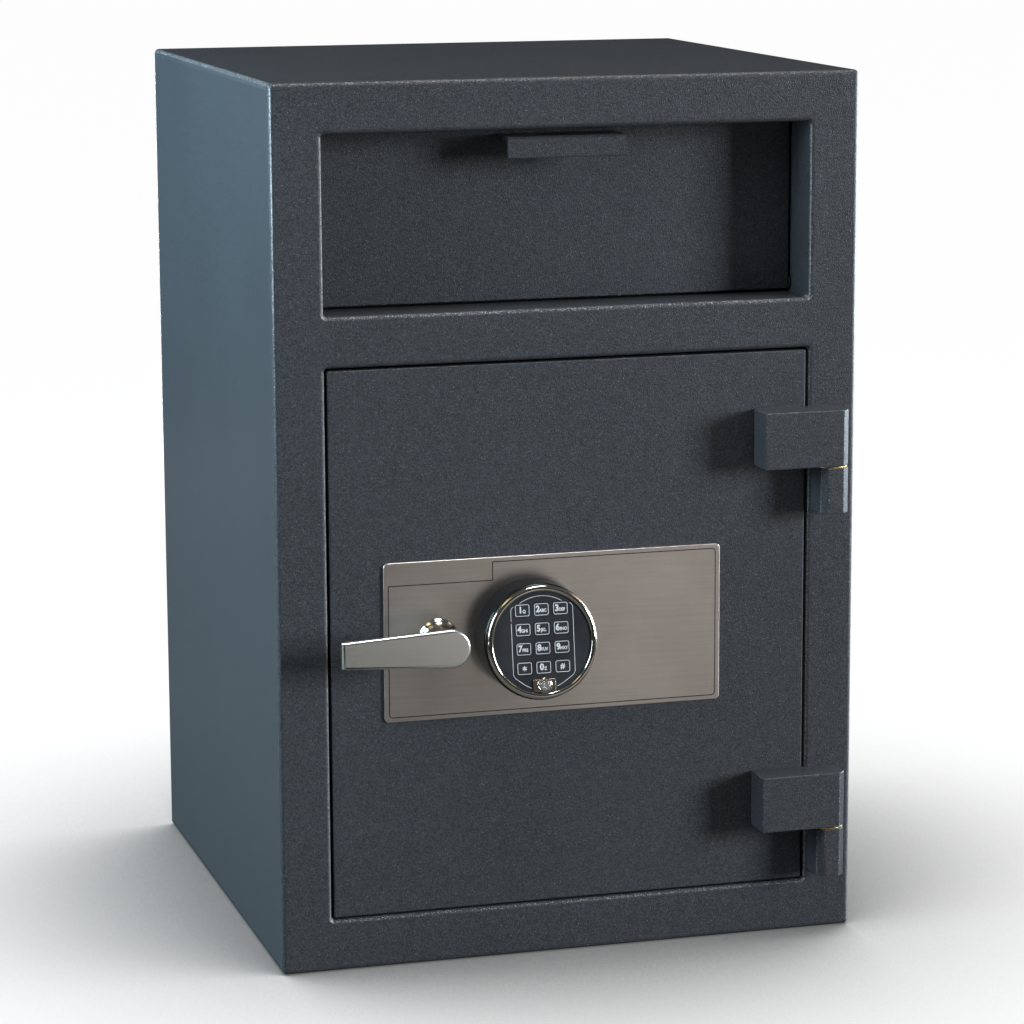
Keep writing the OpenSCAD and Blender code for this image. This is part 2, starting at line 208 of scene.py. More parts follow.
def turned(name, base, axis, rough=0.24, pitch=1800.0):
    """Lathe-turned or ground steel: fine rings round the given axis (the rings cross it), light stain."""
    m, t, b = material(name, Metallic=1.0)
    s = [3.0, 3.0, 3.0]
    s["XYZ".index(axis)] = pitch
    rings = noise(t, coords(t, *s), 1.0, 2, 0.6)
    co = coords(t)
    stain = noise(t, co, 60, 5, 0.62, 0.5)
    tone = calc(t, "ADD", ramp(t, rings, 0.3, 0.7, 0.9, 1.08), ramp(t, stain, 0.35, 0.75, 0.04, -0.14))
    col = blend(t, 1.0, base, N(t, "ShaderNodeCombineColor", {0: tone, 1: tone, 2: tone}).outputs[0], "MULTIPLY")
    r = calc(t, "ADD", ramp(t, stain, 0.3, 0.75, rough - 0.04, rough + 0.12), ramp(t, rings, 0.3, 0.7, -0.03, 0.03))
    put(t, b, Base_Color=col, Roughness=r, Normal=bump(t, rings, 0.5, 0.00002))
    return m


def polished(name, base, rough=0.09, haze=0.06, tint=None):
    m, t, b = material(name, Metallic=1.0)
    co = coords(t)
    cloud = noise(t, co, 55, 4, 0.6)
    hair = noise(t, coords(t, 300, 2200, 900), 1.0, 2, 0.6)
    col = blend(t, ramp(t, cloud, 0.35, 0.7), base, tint or tuple(v * 0.92 for v in base))
    col = blend(t, calc(t, "MULTIPLY", ramp(t, noise(t, co, 900, 1, 0.5), 0.74, 0.78), 0.4), col, tuple(v * 0.3 for v in base))
    r = calc(t, "ADD", ramp(t, cloud, 0.3, 0.75, rough, rough + haze), ramp(t, hair, 0.6, 0.75, 0.0, 0.04))
    put(t, b, Base_Color=col, Roughness=r, Normal=bump(t, hair, 0.15, 0.00001))
    return m


def moulded(name, base, rough, grain=900.0, depth=0.00004, spec=0.45, coat=0.0, dust=0.06):
    """Moulded plastic, rubber or printed film with a fine spark-eroded grain."""
    m, t, b = material(name, Specular_IOR_Level=spec, Coat_Weight=coat, Coat_Roughness=0.08)
    co = coords(t)
    g = noise(t, co, grain, 2, 0.6)
    cloud = noise(t, co, 40, 4, 0.6)
    col = blend(t, ramp(t, cloud, 0.3, 0.75), base, tuple(v * 1.35 + 0.002 for v in base))
    col = blend(t, calc(t, "MULTIPLY", ramp(t, noise(t, co, 1600, 1, 0.5), 0.72, 0.76), dust * 4), col, (0.3, 0.3, 0.29))
    col = blend(t, calc(t, "MULTIPLY", wear_and_highlight(t), 0.22), col, tuple(v * 2.2 + 0.02 for v in base))
    r = calc(t, "ADD", ramp(t, cloud, 0.3, 0.75, rough - 0.04, rough + 0.06), ramp(t, g, 0.3, 0.7, -0.04, 0.04))
    put(t, b, Base_Color=col, Roughness=r, Normal=bump(t, g, 0.5, depth))
    return m


def cast(name, base, rough=0.5, metallic=0.9):
    m, t, b = material(name, Metallic=metallic)
    co = coords(t)
    g = noise(t, co, 420, 4, 0.7)
    cloud = noise(t, co, 30, 4, 0.6)
    col = blend(t, ramp(t, cloud, 0.3, 0.72), base, tuple(v * 0.78 for v in base))
    col = blend(t, calc(t, "MULTIPLY", wear_and_highlight(t), 0.4), col, tuple(min(1.0, v * 1.5) for v in base))
    put(t, b, Base_Color=col, Roughness=ramp(t, g, 0.3, 0.7, rough - 0.06, rough + 0.08), Normal=bump(t, g, 0.5, 0.0002))
    return m


def ink(name, base, rough=0.45):
    m, t, b = material(name)
    co = coords(t)
    g = noise(t, co, 1400, 2, 0.6)
    col = blend(t, ramp(t, g, 0.35, 0.7), base, tuple(v * 0.82 for v in base))
    put(t, b, Base_Color=col, Roughness=ramp(t, g, 0.3, 0.7, rough - 0.05, rough + 0.08), Normal=bump(t, g, 0.3, 0.00002))
    return m


def solder_mask(name):
    m, t, b = material(name, Coat_Weight=0.4, Coat_Roughness=0.15)
    co = coords(t)
    tracks = N(t, "ShaderNodeTexBrick", {"Vector": N(t, "ShaderNodeVectorMath", {0: co, 1: (1, 0, 1)}, operation="MULTIPLY").outputs[0],
               "Scale": 140.0, "Mortar Size": 0.04, "Color1": (0.02, 0.12, 0.06, 1), "Color2": (0.02, 0.15, 0.07, 1), "Mortar": (0.05, 0.26, 0.12, 1)}).outputs["Color"]
    put(t, b, Base_Color=tracks, Roughness=ramp(t, noise(t, co, 300, 3), 0.3, 0.7, 0.3, 0.45))
    return m


FRONT = enamel("enamel_front", (0.0580, 0.0618, 0.0705), (0.56, 0.545, 0.545))
# the top and side enamels are the front's paint with their own base colours: the top darker as painted shade, the sides
# and back a little darker and bluer as painted shade and a painted blue cast of the side light
TOP = enamel("enamel_top", (0.0455, 0.0497, 0.0575), (0.56, 0.545, 0.545), rough=0.46)
SIDE = enamel("enamel_side", (0.0515, 0.0582, 0.0668), (0.56, 0.545, 0.545), grain=0.4, glint_strength=0.2)
INNER = enamel("enamel_inside", (0.0450, 0.0500, 0.0560), (0.16, 0.17, 0.18), rough=0.45, glint_strength=0.5)
STAINLESS = brushed("brushed_stainless", (0.80, 0.735, 0.705), "X", rough=0.30, streak=0.035, spread=0.6, bite=0.03)
NICKEL = brushed("satin_nickel", (0.93, 0.93, 0.91), "X", rough=0.27, streak=0.03, scale=1.3, smudge=0.05, spots=0.05, bite=0.02)
POLISHED = polished("polished_nickel", (0.66, 0.645, 0.61), rough=0.10)
CHROME = polished("chrome", (0.74, 0.73, 0.71), rough=0.05, haze=0.05, tint=(0.70, 0.64, 0.55))
BRASS = brushed("brass", (0.86, 0.60, 0.24), "X", rough=0.24, streak=0.08)
BOLT_STEEL = turned("turned_steel", (0.66, 0.66, 0.65), "X", rough=0.20)
PIN_STEEL = turned("ground_pin_steel", (0.60, 0.60, 0.59), "Z", rough=0.22)
SPINDLE_STEEL = turned("spindle_steel", (0.58, 0.58, 0.57), "Y", rough=0.25)
BAR_STEEL = brushed("drawn_bar_steel", (0.56, 0.565, 0.55), "Z", rough=0.30, streak=0.12)
ZINC = cast("zinc_casting", (0.50, 0.51, 0.52), 0.45)
HARD = cast("black_oxide", (0.06, 0.06, 0.065), 0.42)
HOUSING = moulded("gloss_housing", (0.009, 0.0095, 0.011), 0.20, depth=0.00001, spec=0.35, dust=0.03)
FILM = moulded("keypad_film", (0.0185, 0.0205, 0.0265), 0.38, grain=1300, depth=0.00003, dust=0.05)
RUBBER = moulded("key_rubber", (0.0165, 0.0185, 0.0240), 0.45, grain=1500, depth=0.00004, dust=0.04)
CABLE = moulded("cable_sheath", (0.02, 0.02, 0.02), 0.5)
BOARD = solder_mask("solder_mask")
WHITE_INK = ink("white_ink", (0.84, 0.87, 0.92))
# dark fill for the escutcheon's border line, and painted shade for the screws' cross recesses
DARK_LINE_AND_SHADE = ink("dark_line_and_painted_shade", (0.018, 0.013, 0.010), 0.5)
TAB = polished("worn_chrome", (0.52, 0.43, 0.36), rough=0.22)
RED_LENS = ink("red_lens", (0.18, 0.012, 0.010), 0.2)


# ---------------------------------------------------------------- mesh tools
def arc(cx, cy, r, a0, a1, n):
    return [(cx + r * math.cos(math.radians(a0 + (a1 - a0) * i / n)), cy + r * math.sin(math.radians(a0 + (a1 - a0) * i / n))) for i in range(n + 1)]


def rrect(w, h, r, n=6, cx=0.0, cy=0.0):
    pts = []
    for sx, sy, a in ((1, 1, 0), (-1, 1, 90), (-1, -1, 180), (1, -1, 270)):
        pts += arc(cx + sx * (w / 2 - r), cy + sy * (h / 2 - r), r, a, a + 90, n)
    return pts


def offset(pts, d):
    """Moves a counter-clockwise outline inwards by d."""
    out, n = [], len(pts)
    for i in range(n):
        p0, p, p1 = Vector(pts[i - 1]), Vector(pts[i]), Vector(pts[(i + 1) % n])
        e0, e1 = (p - p0).normalized(), (p1 - p).normalized()
        n0, n1 = Vector((-e0.y, e0.x)), Vector((-e1.y, e1.x))
        out.append(tuple(p + (n0 + n1) * (d / max(0.2, 1 + n0.dot(n1)))))
    return out


def rim(t, r, n=3, back=0.0):
    """Inset and height from back to front, with a rounded front edge, and a small chamfer at the back if asked."""
    start = [(back, 0.0), (0.0, back)] if back else [(0.0, 0.0)]
    return start + [(r * (1 - math.cos(a)), t - r + r * math.sin(a)) for a in (math.pi / 2 * i / n for i in range(n + 1))]


def mark(bm, faces, amount=1.0):
    """Faces lightened at the edges, for the material's worn edges and painted edge highlights: up to 1 in single
    flecks, and over 1 right through. Amount may be a function of face and point.
    """
    layer = bm.loops.layers.float_color.get("wear_and_highlight")
    if layer is None:
        layer = bm.loops.layers.float_color.new("wear_and_highlight")
        for f in bm.faces:
            for loop in f.loops:
                loop[layer] = (0, 0, 0, 1)
    for f in faces:
        for loop in f.loops:
            a = amount(f, loop.vert.co) if callable(amount) else amount
            loop[layer] = (a, a, a, 1)


def plate(loops, profile, worn_from=None):
    """Outlines in XY (counter-clockwise, with True for a hole) raised along a profile of (inset, height)."""
    bm = bmesh.new()
    rings, worn = [], []
    for pts, hole in loops:
        levels = [[bm.verts.new((x, y, z)) for x, y in offset(pts, -inset if hole else inset)] for inset, z in profile]
        rings.append(levels)
        for k, (a, b) in enumerate(zip(levels, levels[1:])):
            for i in range(len(pts)):
                j = (i + 1) % len(pts)
                f = bm.faces.new((a[i], a[j], b[j], b[i]))
                if worn_from is not None and k >= worn_from:
                    worn.append(f)
    for level in (0, -1):
        flat = [v for levels in rings for v in levels[level]]
        for tri in tessellate_polygon([[v.co.copy() for v in levels[level]] for levels in rings]):
            bm.faces.new([flat[i] for i in tri])
    mark(bm, worn)
    return bm


def lathe(profile, seg=96, closed=False):
    bm = bmesh.new()
    rings = []
    for r, z in profile:
        if r < 1e-6:
            rings.append([bm.verts.new((0, 0, z))])
        else:
            rings.append([bm.verts.new((r * math.cos(2 * math.pi * i / seg), r * math.sin(2 * math.pi * i / seg), z)) for i in range(seg)])
    for a, b in zip(rings, rings[1:] + (rings[:1] if closed else [])):
        for i in range(seg):
            j = (i + 1) % seg
            corners = [a[i % len(a)], a[j % len(a)], b[j % len(b)], b[i % len(b)]]
            corners = [v for k, v in enumerate(corners) if v not in corners[:k]]
            if len(corners) > 2:
                bm.faces.new(corners)
    return bm


def smooth_profile(pts, n=6):
    """A Catmull-Rom curve through the points of a lathe profile."""
    out = []
    for i in range(len(pts) - 1):
        p0, p1, p2, p3 = (Vector(pts[max(0, min(len(pts) - 1, i + k))]) for k in (-1, 0, 1, 2))
        for s in range(n):
            u = s / n
            out.append(tuple(0.5 * ((2 * p1) + (p2 - p0) * u + (2 * p0 - 5 * p1 + 4 * p2 - p3) * u * u + (3 * p1 - p0 - 3 * p2 + p3) * u ** 3)))
    return out + [tuple(pts[-1])]


def ribbon(points, w, t, closed=False):
    """A thin raised line along XY points."""
    n = len(points)
    left, right = [], []
    for i in range(n):
        p = Vector(points[i])
        a = Vector(points[i - 1]) if closed or i else p
        b = Vector(points[(i + 1) % n]) if closed or i < n - 1 else p
        d0 = (p - a).normalized() if (p - a).length > 1e-9 else (b - p).normalized()
        d1 = (b - p).normalized() if (b - p).length > 1e-9 else d0
        n0, n1 = Vector((-d0.y, d0.x)), Vector((-d1.y, d1.x))
        m = (n0 + n1) * (w / 2 / max(0.3, 1 + n0.dot(n1)))
        left.append(p + m)
        right.append(p - m)
    bm = bmesh.new()
    rows = [[bm.verts.new((q.x, q.y, z)) for q in side] for side, z in ((left, 0), (left, t), (right, t), (right, 0))]
    for a, b in zip(rows, rows[1:] + rows[:1]):
        for i in range(n if closed else n - 1):
            j = (i + 1) % n
            bm.faces.new((a[i], a[j], b[j], b[i]))
    if not closed:
        bm.faces.new([r[0] for r in rows])
        bm.faces.new([r[-1] for r in reversed(rows)])
    return bm


def glyphs(text, size, x, y, weight, z=0.0, align="CENTER", squeeze=1.0):
    """Plain generic characters as a thin mesh in the key's plane."""
    cu = bpy.data.curves.new("glyph", "FONT")
    cu.body, cu.size, cu.align_x, cu.align_y, cu.offset, cu.extrude, cu.resolution_u = text, size, align, "CENTER", weight, 0.012, 3
    ob = bpy.data.objects.new("glyph", cu)
    scene.collection.objects.link(ob)
    bpy.context.view_layer.update()
    me = bpy.data.meshes.new_from_object(ob.evaluated_get(bpy.context.evaluated_depsgraph_get()))
    bm = bmesh.new()
    bm.from_mesh(me)
    bpy.data.objects.remove(ob)
    bpy.data.meshes.remove(me)
    bm.transform(Matrix.Translation((x, y, z)) @ Matrix.Diagonal((squeeze, 1, 1, 1)))
    return bm


def join(*parts):
    out = bmesh.new()
    for bm in parts:
        me = bpy.data.meshes.new("part")
        bm.to_mesh(me)
        bm.free()
        out.from_mesh(me)
        bpy.data.meshes.remove(me)
    return out


def piece(name, bm, mat, body, *stands_for, slot=None, matrix=None, sharp=34, unit=MM, flat=False):
    if matrix is not None:
        bm.transform(matrix)
    bm.transform(unit)
    bmesh.ops.recalc_face_normals(bm, faces=bm.faces)
    me = bpy.data.meshes.new(name)
    bm.to_mesh(me)
    bm.free()
    me.materials.append(mat)
    o = bpy.data.objects.new(name, me)
    scene.collection.objects.link(o)
    if not flat:
        me.polygons.foreach_set("use_smooth", [True] * len(me.polygons))
        me.set_sharp_from_angle(angle=math.radians(sharp))
        w = o.modifiers.new("weighted", "WEIGHTED_NORMAL")
        w.keep_sharp = True
    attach(o, body)
    if stands_for:
        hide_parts(*stands_for)
    return o


slot_of = {s["node"]: s["material_slot"] for s in frame["record"]["subparts"]}
body_of = {n: b for b, ns in frame["record"]["behaviour"]["bodies"].items() for n in ns}


def refined(node, mat, passes, highlight_and_wear=1.0):
    """The CAD node's shape as clean faces, with its edges rounded: passes of (radius in mm, segments, which edges)."""
    bm = bmesh.new()
    bm.from_mesh(nodes[node].data)
    bmesh.ops.remove_doubles(bm, verts=bm.verts, dist=2e-6)
    bmesh.ops.dissolve_limit(bm, angle_limit=math.radians(0.6), verts=bm.verts, edges=bm.edges)
    bm.transform(Matrix.Scale(1000, 4))
    worn = []
    for r, seg, want in passes:
        bmesh.ops.recalc_face_normals(bm, faces=bm.faces)
        chosen = []
        for e in bm.edges:
            if len(e.link_faces) == 2 and e.calc_face_angle(0) > math.radians(28):
                a, b = e.verts[0].co, e.verts[1].co
                if want is None or want(a, b, (a + b) / 2, e):
                    chosen.append(e)
        if chosen:
            made = bmesh.ops.bevel(bm, geom=chosen, offset=r, offset_type="OFFSET", segments=seg, profile=0.5, affect="EDGES", clamp_overlap=node != "door_hinge_leaves")
            worn += [f for f in made["faces"]]
    bm.normal_update()
    # the rounded faces get the edge amount: worn paint, and painted edge glints and highlights in the enamel
    mark(bm, [f for f in worn if f.is_valid and max(abs(c) for c in f.normal) < 0.93], highlight_and_wear)
    return piece(node + "_finish", bm, mat, body_of[node], node, slot=slot_of[node])


def convex(e):
    """True for an outside edge."""
    f, g = e.link_faces
    mid = (e.verts[0].co + e.verts[1].co) / 2
    return (g.calc_center_median() - mid).dot(f.normal) < -1e-4


def near(a, b, tol=0.05):
    return abs(a - b) < tol


# ---------------------------------------------------------------- welded body
def frame_highlight_and_wear(f, p):
    """Painted edge highlights on worn paint: lightened right through down the upper part of the left corner, on the
    right corner and round the openings, dotted or bare elsewhere, bare on downward faces.
    """
    n = f.normal
    crest = 0.6 < abs(n.x) < 0.8
    if abs(n.z) > 0.1:
        return 0.0 if n.z < 0 else 0.35 if p.z > 750 else 0.7 if abs(n.x) < 0.15 else 1.4
    if p.x < -250:
        return -3.0 + 5.6 * p.z / 762 if crest else 0.0
    if p.x > 250:
        return 1.3 if crest else 0.5
    return (1.9 if n.x > 0 and p.z > 540 else 1.4) if crest else 0.3


bm = plate([(rrect(518, 762, 4.0, 5, 0, 381), False), (rrect(430, 152, 2.5, 5, 0, 643), True), (rrect(430, 478, 2.5, 5, 0, 284.5), True)], rim(10.0, 4.1, 5))
bm.transform(at(0, -244, 0))
bmesh.ops.recalc_face_normals(bm, faces=bm.faces)
# the rounded faces get painted edge highlights on worn paint by the amounts above
mark(bm, [f for f in bm.faces if max(abs(c) for c in f.normal) < 0.97], frame_highlight_and_wear)
piece("front_frame_finish", bm, FRONT, body_of["front_frame"], "front_frame", slot=slot_of["front_frame"])
refined("top_plate", TOP, [(4.0, 5, lambda a, b, m, e: m.y > -243 and not (near(m.z, 756) and near(a.z, b.z)) and (near(m.z, 762) or near(abs(m.x), 259) and near(m.y, 254)))])
refined("bottom_plate", INNER, [(4.0, 5, lambda a, b, m, e: m.y > -243 and (near(m.z, 0) and (near(abs(m.x), 259) or near(m.y, 254)) or near(abs(m.x), 259) and near(m.y, 254) and near(m.z, 3))),
                                (0.6, 2, lambda a, b, m, e: abs(m.x) < 190 and abs(m.y) < 160)])
refined("side_left", SIDE, [(4.0, 5, lambda a, b, m, e: near(m.x, -259) and near(m.y, 254))])
refined("side_right", SIDE, [(4.0, 5, lambda a, b, m, e: near(m.x, 259) and near(m.y, 254))])
refined("back_plate", SIDE, [(1.0, 2, lambda a, b, m, e: near(m.y, 254))])
for n in ("throat_top", "throat_sill", "throat_left", "throat_right"):
    refined(n, FRONT, [(0.7, 2, lambda a, b, m, e: m.y > -240 and convex(e))])
refined("anti_fish_baffle", INNER, [(0.5, 2, lambda a, b, m, e: convex(e))])
refined("hopper_rest_rod", BOLT_STEEL, [(0.5, 2, None)])
refined("frame_hinge_barrels", FRONT, [(0.9, 3, lambda a, b, m, e: m.y < -255 and (m.x - 231.2) ** 2 + (m.y + 270.5) ** 2 > 60)], highlight_and_wear=0.8)
refined("hinge_pins", PIN_STEEL, [(0.8, 2, None)])
refined("hinge_washers", BRASS, [(0.25, 2, None)])

# ---------------------------------------------------------------- deposit hopper
refined("hopper_panel", FRONT, [(1.3, 3, lambda a, b, m, e: near(m.y, -208)), (0.5, 2, lambda a, b, m, e: near(m.y, -203))])
z1, y_out = 712.0, PANEL_Y - 37
outline = [(PANEL_Y + 0.01, z1 - 3.5)] + [(PANEL_Y + 0.01, z1)] + arc(y_out + 4.0, z1 - 4.0, 4.0, 90, 180, 8) \
    + arc(y_out + 1.2, z1 - 18.5 + 1.2, 1.2, 180, 270, 4) + arc(y_out + 2.5, z1 - 18.5 + 1.0, 1.0, 270, 360, 4) \
    + [(y_out + 3.5, z1 - 6.2)] + list(reversed(arc(y_out + 6.2, z1 - 6.2, 2.7, 90, 180, 5)))[1:]
bm = bmesh.new()
ends = [[bm.verts.new((x, y, z)) for y, z in outline] for x in (-52, 52)]
for i in range(len(outline)):
    j = (i + 1) % len(outline)
    bm.faces.new((ends[0][i], ends[0][j], ends[1][j], ends[1][i]))
caps = [bm.faces.new(ends[0]), bm.faces.new(list(reversed(ends[1])))]
made = bmesh.ops.bevel(bm, geom=[e for f in caps for e in f.edges if max(v.co.y for v in e.verts) < PANEL_Y - 1], offset=0.7, segments=3, profile=0.5, affect="EDGES", clamp_overlap=True)
mark(bm, made["faces"])
piece("hopper_pull_finish", bm, FRONT, "hopper", "hopper_pull", slot="body_paint")
for n in ("hopper_cheek_left", "hopper_cheek_right", "hopper_floor"):
    refined(n, INNER, [(0.45, 2, lambda a, b, m, e: m.y > -202)])
refined("hopper_trunnions", HARD, [(0.4, 2, None)])

# ---------------------------------------------------------------- door
refined("door_plate", FRONT, [(1.2, 3, lambda a, b, m, e: abs(m.x) > 212 or m.z < 48 or m.z > 521)], highlight_and_wear=0.5)
refined("door_hinge_leaves", FRONT, [(1.1, 3, lambda a, b, m, e: m.y < -255 and (m.x - 231.2) ** 2 + (m.y + 270.5) ** 2 > 60)], highlight_and_wear=0.8)
refined("hinge_side_deadbar", BAR_STEEL, [(0.8, 2, lambda a, b, m, e: m.y > -239 and convex(e))])
refined("bolt_frame", INNER, [(0.5, 2, lambda a, b, m, e: convex(e) and m.y > -239)])
refined("hard_plate", HARD, [(0.6, 2, lambda a, b, m, e: convex(e))])
refined("lock_case", ZINC, [(1.2, 3, lambda a, b, m, e: convex(e))])
refined("lock_cable", CABLE, [(0.2, 2, None)])
refined("boltwork_cover", INNER, [(1.4, 3, lambda a, b, m, e: convex(e) and m.y > -205.5)])
refined("spindle_bushing", BRASS, [(0.4, 2, lambda a, b, m, e: (m.x - HX) ** 2 + (m.z - HZ) ** 2 > 81)])

plates = [(rrect(301.5, 138.5, 4, 8, -16.25, 286.05), False), (arc(HX, HZ, 9, 0, 352.5, 47), True), (arc(KX, KZ, 6, 0, 352.5, 47), True)]
piece("escutcheon_plate_finish", plate(plates, rim(2.0, 0.6, 3), 1), STAINLESS, "door", "escutcheon_plate", slot="brushed_stainless", matrix=at(0, -253.4, 0))


def rounded(corners, n=6):
    """A closed line through (x, y, radius) corners."""
    out, k = [], len(corners)
    for i in range(k):
        (x, y, r), (xa, ya, _), (xb, yb, _) = corners[i], corners[i - 1], corners[(i + 1) % k]
        p, a, b = Vector((x, y)), Vector((xa, ya)), Vector((xb, yb))
        u, v = (a - p).normalized(), (b - p).normalized()
        s, e = p + u * r, p + v * r
        c = p + (u + v) * r
        for q in range(n + 1):
            w = q / n * math.pi / 2
            out.append(tuple(c + (s - c) * math.cos(w) + (e - c) * math.sin(w)))
    return out


border = rounded([(-162.9, 335.4, 0.8), (-70.9, 335.4, 0.5), (-70.9, 351.4, 0.5), (130.3, 351.4, 3.2), (130.3, 220.8, 3.2), (-162.9, 220.8, 3.2)])
piece("escutcheon_border", ribbon(border, 0.85, 0.05, closed=True), DARK_LINE_AND_SHADE, "door", slot="brushed_stainless", matrix=at(0, ESC_Y + 0.01, 0))

# handle: rose, flared neck, lever with a rounded front edge
rose = [(8.3, 0.02), (17.2, 0.02), (17.5, 0.3), (17.5, 1.0), (17.2, 1.6), (16.5, 2.3), (15.9, 2.9), (15.4, 3.5), (14.8, 3.9), (8.6, 4.0), (8.3, 3.7)]
piece("handle_rose_finish", lathe(rose, closed=True), POLISHED, "door", "handle_rose", slot="satin_nickel", matrix=at(HX, ESC_Y, HZ))
neck = smooth_profile([(15.0, 4.2), (14.5, 4.9), (13.5, 6.3), (12.6, 9.0), (12.1, 14), (11.75, 22), (11.5, 30), (11.55, 36), (12.2, 39.4), (13.4, 40.6)], 5)
piece("handle_neck_finish", lathe([(8.0, 4.2)] + neck + [(8.0, 40.6)], closed=True), POLISHED, "handle", "handle_neck", slot="satin_nickel", matrix=at(HX, ESC_Y, HZ))
d = math.degrees(math.asin((16.8 - 23.0 / 2) / 95))
lever = arc(0, 0, 16.8, -90 - d, 90 + d, 56) + arc(-95 + 0.9, 11.5 - 0.9, 0.9, 90 + d, 180, 4) + arc(-95 + 0.9, -11.5 + 0.9, 0.9, 180, 270 - d, 4)
face = [(0.7, 0.0), (0.2, 0.2), (0.0, 0.7)] + [(2.5 * (1 - math.cos(a)), 6.0 - 2.5 + 2.5 * math.sin(a)) for a in (math.pi / 2 * i / 7 for i in range(8))]
bm = plate([(lever, False)], face, 3)
piece("handle_lever_finish", bm, NICKEL, "handle", "handle_lever", slot="satin_nickel", matrix=at(HX, LEVER_Y + 6, HZ), sharp=40)
refined("handle_spindle", SPINDLE_STEEL, [(0.4, 2, None)])
refined("drive_cam", SPINDLE_STEEL, [(0.6, 2, None)])
refined("drive_pin", SPINDLE_STEEL, [(0.4, 2, None)])
refined("bolt_bar", BAR_STEEL, [(0.8, 2, lambda a, b, m, e: convex(e))])
refined("door_bolts", BOLT_STEEL, [(1.6, 3, lambda a, b, m, e: m.x < -205)])
refined("lock_bolt", BRASS, [(0.5, 2, None)])


heads = []
for x in (-185, 0, 165):
    for z in (100, 470):
        bm = lathe([(0.0, 2.5), (2.2, 2.4), (3.8, 2.0), (4.7, 1.25), (5.0, 0.6), (5.0, 0.0), (0.0, 0.0)], 40)
        bm.transform(Matrix.Translation((x, -204.0, z)) @ Matrix.Rotation(math.radians(-90), 4, "X"))
        cross = []
        for a in (25, 115):
            c = plate([(rrect(6.0, 0.9, 0.3, 3), False)], [(0, 2.2), (0, 2.47)])
            c.transform(Matrix.Translation((x, -204.0, z)) @ Matrix.Rotation(math.radians(-90), 4, "X") @ Matrix.Rotation(math.radians(a), 4, "Z"))
            cross.append(c)
        heads.append((bm, cross))
piece("cover_screws_finish", join(*[h[0] for h in heads]), BOLT_STEEL, "door", "cover_screws", slot="plated_steel")
# painted shade: the cross recesses are flat dark crosses set into the solid domed heads in place of hollows
piece("cover_screw_recesses", join(*[c for h in heads for c in h[1]]), DARK_LINE_AND_SHADE, "door", slot="plated_steel")

# ---------------------------------------------------------------- keypad
shell = lathe([(0.0, -70.0), (50.0, -70.0), (50.0, -6.4), (49.88, -5.4), (49.5, -4.6), (49.15, -4.15), (48.95, -4.0), (43.0, -4.0)], 128)
shell.transform(STRAIGHT)
pocket = lathe([(43.0, -4.0), (43.0, -6.0), (40.0, -6.2), (40.0, -24.0), (0.0, -24.0)], 128)
pocket.transform(PAD)
bm = join(shell, pocket)
bmesh.ops.remove_doubles(bm, verts=bm.verts, dist=1e-3)
bmesh.ops.bisect_plane(bm, geom=bm.verts[:] + bm.edges[:] + bm.faces[:], plane_co=(0, ESC_Y - 0.02, 0), plane_no=(0, 1, 0), clear_outer=True)
bmesh.ops.holes_fill(bm, edges=[e for e in bm.edges if e.is_boundary], sides=0)
piece("keypad_housing_finish", bm, HOUSING, "door", "keypad_housing", slot="housing_black")
ring = [(43.45, -3.9), (43.45, 0.1), (43.6, 0.7), (44.1, 1.35), (44.9, 1.72), (45.9, 1.8), (46.9, 1.62), (47.8, 1.1), (48.4, 0.35), (48.68, -0.6), (48.7, -1.6), (48.7, -3.9)]
piece("keypad_bezel_finish", lathe(ring, 160, closed=True), CHROME, "door", "keypad_bezel", slot="chrome", matrix=PAD, sharp=50)
holes = [(rrect(14.0, 11.4, 2.4, 6, (i % 3 - 1) * 16.9, ROW0 - i // 3 * 16.5), True) for i in range(12)]
piece("keypad_face_finish", plate([(arc(0, 0, 43.4, 0, 360 - 360 / 128, 127), False)] + holes, [(0, -2.0), (0, -0.2), (0.06, -0.06), (0.2, 0.0)]), FILM, "door", "keypad_face", slot="keypad_black", matrix=PAD)
refined("keypad_board", BOARD, [(0.2, 1, None)])

left = [(-24.0, 31.6), (-25.6, 30.9), (-26.6, 29.6), (-26.9, 27.8)] + [(-26.9, 27.8 - 53.6 * i / 6) for i in range(1, 7)] + [(-26.5, -27.4), (-25.2, -29.3), (-21.6, -32.2), (-16.4, -35.9), (-10.8, -38.9)]
right = [(25.0, 32.2), (26.7, 31.4), (27.7, 30.0), (28.0, 28.0)] + [(28.0, 28.0 - 53.6 * i / 6) for i in range(1, 7)] + [(27.6, -27.2), (26.2, -29.2), (22.4, -31.9), (17.0, -35.4), (11.6, -38.3)]
top = [(x, 39.7 - 5.3 * (x / 18.7) ** 2) for x in (-18.7 + 37.4 * i / 16 for i in range(17))]
piece("keypad_outline", join(*[ribbon(p, 0.45, 0.03) for p in (left, right, top)]), WHITE_INK, "door", slot="keypad_black", matrix=PAD @ Matrix.Translation((0, 0, 0.005)))
piece("keypad_lamp", lathe([(0.0, 0.28), (0.5, 0.22), (0.85, 0.05), (0.9, 0.0), (0.0, 0.0)], 24), RED_LENS, "door", slot="keypad_black", matrix=PAD @ Matrix.Translation((-26.9, 18.1, 0.0)))

